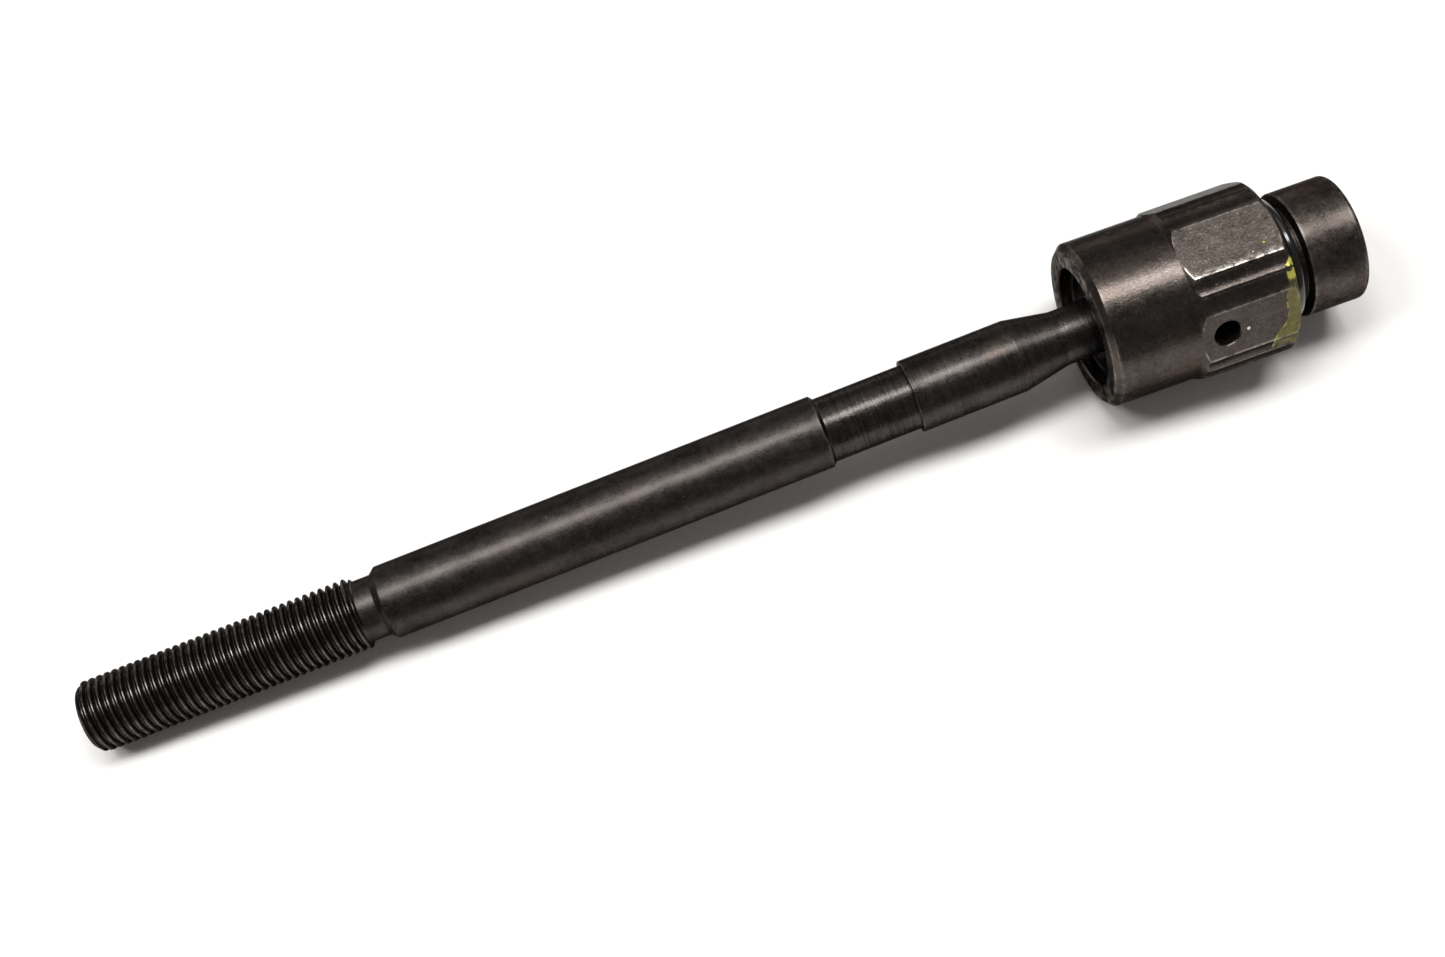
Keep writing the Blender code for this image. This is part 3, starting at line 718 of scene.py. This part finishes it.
class TRS_OT_housing(bpy.types.Operator):
    """Build the socket housing: round mouth, hex collar with fluted corners, bore and pin hole"""
    bl_idname = "tie_rod_socket.housing"
    bl_label = "Socket housing"

    def execute(self, context):
        size = context.scene.trs_socket
        face, end = extent("socket_housing")[:2]
        shoulder = face + size.body_length
        hex_start = shoulder + size.shoulder
        inner = size.bore_radius
        inradius = size.across_flats / 2.0
        fine_round = 0.12 * MM
        profile = soften([
            (end - 2.0 * size.bore_chamfer, inner, 0.0),
            (end, inner + 2.0 * size.bore_chamfer, fine_round),
            (end, size.corner_radius - size.end_chamfer, 0.25 * MM, 0.5),
            (end - size.end_chamfer, size.corner_radius, 0.18 * MM, 0.25),
            (hex_start, size.corner_radius, 0.25 * MM),
            (shoulder, size.body_radius, 0.50 * MM),
            (face + size.mouth_chamfer, size.body_radius, 0.16 * MM, 0.20),
            (face, size.body_radius - size.mouth_chamfer, fine_round, 0.40),
            (face, inner + size.bore_chamfer, fine_round, 0.15),
            (face + size.bore_chamfer, inner, 0.0),
        ])
        on_face = face + 0.01 * MM
        profile = [(place, radius, 1.0 if place < on_face else wear) for place, radius, wear in profile]
        spacing = 0.08 * MM
        profile = spaced(profile, end - size.end_chamfer, end, spacing)
        profile = spaced(profile, shoulder, hex_start, spacing)

        # A turned corner begins where the hex's flat reaches the corner radius, and holds two flutes
        side = math.radians(60.0)
        flat_half = math.acos(inradius / size.corner_radius)
        corner_half = side / 2.0 - flat_half
        flute_axis = size.corner_radius + size.flute_radius - size.flute_depth

        # Columns stand closer at each arris, and at the ridge between the flutes
        near = math.radians(0.5)
        ridge = side / 2.0 - math.radians(1.0)
        sector = []
        for low, high, count in ((0.0, flat_half - near, 18), (flat_half - near, flat_half + near, 9),
                                 (flat_half + near, ridge, 18), (ridge, side / 2.0, 7)):
            sector += [low + (high - low) * step / count for step in range(count)]
        half = sector + [side / 2.0] + [side - angle for angle in reversed(sector[1:])]
        columns = sorted({round(angle + side * turn, 9) for turn in range(6) for angle in half})

        # The bore keeps its profile, and the round mouth keeps its profile's wear
        bore_wall = inner + 2.5 * MM
        round_wall = size.body_radius + 0.3 * MM

        # Along the arris between the upper flat and the fluted corner in front of it, a wide band of bare colour
        # is a painted highlight
        highlight_from = math.radians(188.0)
        highlight_to = math.radians(208.0)
        highlight_width = 0.36 * MM
        narrow_rub = 0.13 * MM
        flute_rub = 0.05 * MM

        def section(angle, radius, wear):
            """Keep a turned radius within the hex's flats and the corner flutes, and give it its wear and, along
            one arris, a painted highlight.
            """
            if radius < bore_wall:
                return radius, wear
            from_flat = abs((angle + side / 2.0) % side - side / 2.0)
            flat = inradius / math.cos(from_flat)
            result = soft_minimum(radius, flat, size.arris_round)
            # Within that span the wide band is painted highlight; elsewhere the narrow band is edge wear
            width = highlight_width if highlight_from < angle < highlight_to else narrow_rub
            wear_and_highlight = max(wear if radius < flat else 0.0, 1.0 - abs(radius - flat) / width)
            if radius < round_wall:
                wear_and_highlight = wear
            from_flute = side / 2.0 - from_flat - corner_half / 2.0
            across = flute_axis * math.sin(from_flute)
            if abs(across) < size.flute_radius and radius > inradius:
                floor = flute_axis * math.cos(from_flute) - math.sqrt(size.flute_radius ** 2 - across ** 2)
                kept = wear_and_highlight if floor > radius else 0.6 * wear_and_highlight
                wear_and_highlight = max(kept, 0.8 - abs(radius - floor) / flute_rub)
                result = soft_minimum(result, floor, size.arris_round)
            return result, min(max(wear_and_highlight, 0.0), 1.0)

        housing = lathe("housing_shell", profile, SOCKET_FRAME, columns, section, closed=True)

        # The hole stands square to the flat that faces the front, and its edge is lightly broken
        radius = size.pin_hole_radius
        edge = 0.22 * MM
        spare = 2.0 * MM
        front_flat = math.radians(240.0)
        hole_profile = [
            (inner - spare, 0.0, 0.0),
            (inner - spare, radius, 0.0),
            (inradius - edge, radius, 0.0),
            (inradius, radius + edge, 0.0),
            (inradius + spare, radius + edge + spare, 0.0),
            (inradius + spare, 0.0, 0.0),
        ]
        hole_frame = (SOCKET_FRAME @ Matrix.Translation((0.0, 0.0, hex_start + size.pin_hole_place))
                      @ Matrix.Rotation(front_flat, 4, "Z")
                      @ Matrix.Rotation(math.radians(90.0), 4, "Y"))
        cutter = lathe("pin_hole_cutter", hole_profile, hole_frame, turn_angles(64))
        modifier = housing.modifiers.new("pin_hole", "BOOLEAN")
        modifier.operation = "DIFFERENCE"
        modifier.solver = "EXACT"
        modifier.object = cutter
        apply_modifiers(housing)
        bpy.data.objects.remove(cutter)
        dress(housing, "phosphated_housing_steel", "socket", ["socket_housing"], 28.0)
        return {"FINISHED"}


class TRS_OT_plug(bpy.types.Operator):
    """Build the end plug: cup, thread, neck and round head"""
    bl_idname = "tie_rod_socket.plug"
    bl_label = "End plug"

    def execute(self, context):
        size = context.scene.trs_plug
        thread = context.scene.trs_thread
        nose, end = extent("end_plug")[:2]
        head = end - size.head_length
        thread_end = head - size.neck_length
        core = size.thread_radius - thread.depth - 0.05 * MM
        nose_chamfer = 0.4 * MM
        neck_cone = 0.3 * MM
        spring_end, spring_radius = extent("preload_spring")[1:]
        gap = 0.3 * MM
        pocket_floor = spring_end + gap
        pocket_radius = spring_radius + gap
        cup = PLUG_CUP_RADIUS
        thread_start = pocket_floor + 2.0 * MM
        profile = [
            (pocket_floor, 0.0, 0.0),
            (pocket_floor, pocket_radius, 0.0),
            (math.sqrt(cup ** 2 - pocket_radius ** 2), pocket_radius, 0.0),
        ]
        profile += arc_points((0.0, 0.0), cup, math.asin(pocket_radius / cup), math.acos(nose / cup), 10)
        profile += soften([
            (nose, math.sqrt(cup ** 2 - nose ** 2), 0.0),
            (nose, size.thread_radius - nose_chamfer, 0.1 * MM),
            (nose + nose_chamfer, size.thread_radius, 0.1 * MM),
            (thread_start, size.thread_radius, 0.1 * MM),
            (thread_start, core, 0.0),
            (thread_end - neck_cone, core, 0.0),
            (thread_end, size.neck_radius, 0.0),
            (head, size.neck_radius, 0.15 * MM),
            (head, size.head_radius, 0.22 * MM, 0.6),
            (end, size.head_radius, size.head_round, 0.4),
            (end, 0.0, 0.0),
        ])
        plug = lathe("plug_body", profile, SOCKET_FRAME)
        dress(plug, "phosphated_plug_steel", "socket", ["end_plug"])

        # The thread begins inside the collar in front of it, and its ends are sunk in the core
        start = thread_start - 0.5 * MM
        sunk = core - 0.1 * MM
        matrix = SOCKET_FRAME @ Matrix.Translation((0.0, 0.0, start))
        material = "blackened_plug_thread"
        ridges = cut_thread("plug_thread", matrix, material, thread_end - start, size.thread_radius,
                            start=(sunk, 2.0), end=(sunk, 2.4))
        dress(ridges, material, "socket", ["end_plug"], 70.0)
        return {"FINISHED"}


class TRS_OT_seal(bpy.types.Operator):
    """Build the rubber ring on the plug's neck"""
    bl_idname = "tie_rod_socket.seal"
    bl_label = "Seal ring"

    def execute(self, context):
        section = context.scene.trs_plug.seal_section
        front, back, outer = extent("seal_ring")
        points = arc_points(((front + back) / 2.0, outer - section), section, 0.0, 2.0 * math.pi, 36)[:-1]
        seal = lathe("seal_ring_fine", points, SOCKET_FRAME, closed=True)
        dress(seal, "oiled_seal_rubber", "socket", ["seal_ring"], 80.0)
        return {"FINISHED"}


class TRS_OT_closing_ring(bpy.types.Operator):
    """Build the ring that closes the mouth, and the seat that shows behind it"""
    bl_idname = "tie_rod_socket.closing_ring"
    bl_label = "Closing ring and seats"

    def execute(self, context):
        front, back, outer = extent("closing_ring")
        wide = 9.3 * MM
        narrow = 8.8 * MM
        points = soften([
            (back, outer - 1.0 * MM, 0.0),
            (back, outer, 0.3 * MM),
            (front, outer, 0.3 * MM),
            (front, wide, 0.25 * MM),
            (back, narrow, 0.15 * MM),
            (back, narrow + 0.4 * MM, 0.0),
        ])
        ring = lathe("closing_ring_fine", points, SOCKET_FRAME, closed=True)
        dress(ring, "blackened_ring_steel", "socket", ["closing_ring"])

        front, back = extent("front_ball_seat")[:2]
        cup = SEAT_CUP_RADIUS
        points = [(back, outer, 0.0), (front, outer, 0.0)]
        points += arc_points((0.0, 0.0), cup, math.acos(front / cup), math.acos(back / cup), 12)
        seat = lathe("front_seat_fine", points, SOCKET_FRAME, closed=True)
        dress(seat, "moulded_bearing_plastic", "ball_seats", ["front_ball_seat"])

        # These two stay as they are packed, and take a finish
        packed = {"rear_ball_seat": "moulded_bearing_plastic", "preload_spring": "bright_spring_steel"}
        for node, material in packed.items():
            mesh = frame["nodes"][node].data
            mesh.materials.clear()
            mesh.materials.append(bpy.data.materials[material])
        return {"FINISHED"}


class TRS_OT_rod(bpy.types.Operator):
    """Build the rod: ball, neck, taper, land, journal, shank and thread relief"""
    bl_idname = "tie_rod_socket.rod"
    bl_label = "Rod and ball"

    def execute(self, context):
        size = context.scene.trs_rod
        taper, land, journal, shank, cone, relief, thread = rod_places()
        fillet_height = size.neck_radius + size.neck_fillet
        fillet_place = math.sqrt((size.ball_radius + size.neck_fillet) ** 2 - fillet_height ** 2)
        meet = math.atan2(fillet_height, fillet_place)
        flat_radius = 2.5 * MM
        flat_angle = math.pi - math.asin(flat_radius / size.ball_radius)
        profile = soften([
            (thread + 0.1 * MM, 0.0, 0.0),
            (thread + 0.1 * MM, size.relief_radius, 0.02 * MM),
            (relief, size.relief_radius, 0.5 * MM),
            (cone, size.shank_radius, 0.5 * MM),
            (shank, size.shank_radius, 0.18 * MM, 0.5),
            (shank - size.shoulder_chamfer, size.journal_radius, 0.2 * MM),
            (journal, size.journal_radius, 0.12 * MM),
            (journal, size.shank_radius, 0.15 * MM, 0.6),
            (land, size.shank_radius, 1.6 * MM),
            (taper, size.neck_radius, 2.5 * MM),
            (fillet_place, size.neck_radius, 0.0),
        ])
        fillet = arc_points((fillet_place, fillet_height), size.neck_fillet, math.radians(-90.0),
                            meet - math.pi, 12)
        ball = arc_points((0.0, 0.0), size.ball_radius, meet, flat_angle, 40)
        profile += fillet[1:] + ball[1:]
        profile += [(profile[-1][0], 0.0, 0.0)]
        shaft = lathe("rod_shaft", profile, ROD_FRAME)
        dress(shaft, "blackened_rod_steel", "rod", ["tie_rod"])
        return {"FINISHED"}


class TRS_OT_rod_thread(bpy.types.Operator):
    """Cut the thread on the rod's free end"""
    bl_idname = "tie_rod_socket.rod_thread"
    bl_label = "Rod thread"

    def execute(self, context):
        size = context.scene.trs_rod
        thread = rod_places()[-1]
        sunk = 0.2 * MM

        # The first turn rises out of the relief on a short cone
        slope = 0.9 / 0.7
        matrix = ROD_FRAME @ Matrix.Translation((0.0, 0.0, thread - sunk))
        material = "blackened_thread_steel"
        turns = cut_thread("rod_thread", matrix, material, ROD_LENGTH - thread + sunk, size.thread_radius,
                           start=(size.relief_radius - sunk * slope, slope),
                           end=(size.thread_radius - size.thread_end_chamfer, 1.0))
        dress(turns, material, "rod", ["tie_rod"], 70.0)
        return {"FINISHED"}


class TRS_OT_stage(bpy.types.Operator):
    """Set the table, the soft overhead light and the camera"""
    bl_idname = "tie_rod_socket.stage"
    bl_label = "Studio"

    def execute(self, context):
        scene = context.scene
        stage = scene.trs_stage

        # The table lies a hair below the part, so that no two faces coincide
        table_half = 6.0
        table_drop = 0.05 * MM
        mesh = bmesh.new()
        bmesh.ops.create_grid(mesh, x_segments=1, y_segments=1, size=table_half)
        bmesh.ops.translate(mesh, verts=mesh.verts, vec=(0.0, 0.0, -table_drop))
        data = bpy.data.meshes.new("table")
        mesh.to_mesh(data)
        mesh.free()
        table = new_object("table", data)
        nodes, shader = start_material("pale_table")
        vector = nodes.add("ShaderNodeTexCoord").outputs["Object"]
        cloud = nodes.noise(vector, 9.0, 3.0, 0.5)
        colour = nodes.blend(nodes.times(cloud, 0.05), tuple(stage.floor_colour), (0.86, 0.86, 0.85))
        nodes.feed(shader, {"Base Color": colour, "Roughness": 0.85, "Specular IOR Level": 0.15})
        data.materials.append(bpy.data.materials["pale_table"])

        # A row of lamps runs the length of the part, so that its highlights run along it too
        tilts = (-34.0, -14.0, 3.0, 19.0)
        lamp_distance = 1.5
        for number, tilt in enumerate(tilts):
            lamp = bpy.data.lights.new(f"overhead_lamp_{number}", "SUN")
            lamp.energy = stage.lamp_strength / len(tilts)
            lamp.angle = stage.lamp_spread
            lamp.color = (1.0, 0.99, 0.975)
            light = new_object(lamp.name, lamp)
            toward = Vector((math.tan(math.radians(tilt)), math.tan(stage.lamp_lean), 1.0)).normalized()
            light.rotation_euler = toward.to_track_quat("Z", "Y").to_euler()
            light.location = toward * lamp_distance

        # The room is brighter overhead and behind the part than elsewhere
        world = bpy.data.worlds.new("room")
        world.use_nodes = True
        scene.world = world
        nodes = Nodes(world.node_tree)
        background = world.node_tree.nodes["Background"]
        back, up = nodes.parts(nodes.add("ShaderNodeTexCoord").outputs["Generated"])[1:]
        glow = nodes.plus(nodes.times(back, 0.40), nodes.times(up, 0.91))
        dim = stage.room_strength
        strength = nodes.spread(glow, 0.80, 1.0, dim, 6.0 * dim, smooth=True)
        nodes.feed(background, {"Strength": strength, "Color": (1.0, 0.95, 0.90, 1.0)})

        camera = bpy.data.cameras.new("camera")
        camera.sensor_width = 36.0
        camera.lens = stage.camera_lens
        camera.clip_start = 0.01
        camera.clip_end = 50.0
        viewer = new_object("camera", camera)
        level = math.cos(stage.camera_elevation)
        back_line = Vector((math.sin(stage.camera_azimuth) * level, -math.cos(stage.camera_azimuth) * level,
                            math.sin(stage.camera_elevation)))
        viewer.location = Vector(stage.camera_aim) + back_line * stage.camera_distance
        viewer.rotation_euler = (back_line.to_track_quat("Z", "Y")
                                 @ Quaternion((0.0, 0.0, 1.0), stage.camera_roll)).to_euler()
        scene.camera = viewer
        scene.view_settings.view_transform = "Standard"
        return {"FINISHED"}


class TRS_PT_panel(bpy.types.Panel):
    """Lists the tie rod's pieces and sizes"""
    bl_idname = "TRS_PT_panel"
    bl_label = "Tie Rod Socket"
    bl_space_type = "VIEW_3D"
    bl_region_type = "UI"
    bl_category = "Tie Rod"

    def draw(self, context):
        layout = self.layout
        for operator in OPERATORS:
            layout.operator(operator.bl_idname)
        for name in SIZE_GROUPS:
            group = getattr(context.scene, name)
            box = layout.box()
            box.label(text=name)
            for key in group.__annotations__:
                box.prop(group, key)


SIZE_GROUPS = {
    "trs_rod": RodSizes,
    "trs_socket": SocketSizes,
    "trs_plug": PlugSizes,
    "trs_thread": ThreadSizes,
    "trs_finishes": Finishes,
    "trs_stage": StageSizes,
}
OPERATORS = (TRS_OT_finishes, TRS_OT_housing, TRS_OT_plug, TRS_OT_seal, TRS_OT_closing_ring, TRS_OT_rod,
             TRS_OT_rod_thread, TRS_OT_stage)
CLASSES = (*SIZE_GROUPS.values(), *OPERATORS, TRS_PT_panel)


def register():
    """Register the classes, and hang the sizes on the scene."""
    for entry in CLASSES:
        bpy.utils.register_class(entry)
    for name, group in SIZE_GROUPS.items():
        setattr(bpy.types.Scene, name, PointerProperty(type=group))


def unregister():
    """Take the sizes and the classes away again."""
    for name in SIZE_GROUPS:
        delattr(bpy.types.Scene, name)
    for entry in reversed(CLASSES):
        bpy.utils.unregister_class(entry)


def main():
    """Register the add-on and build everything in order."""
    register()
    bpy.ops.tie_rod_socket.finishes()
    bpy.ops.tie_rod_socket.housing()
    bpy.ops.tie_rod_socket.plug()
    bpy.ops.tie_rod_socket.seal()
    bpy.ops.tie_rod_socket.closing_ring()
    bpy.ops.tie_rod_socket.rod()
    bpy.ops.tie_rod_socket.rod_thread()
    bpy.ops.tie_rod_socket.stage()


if __name__ == "__main__":
    main()
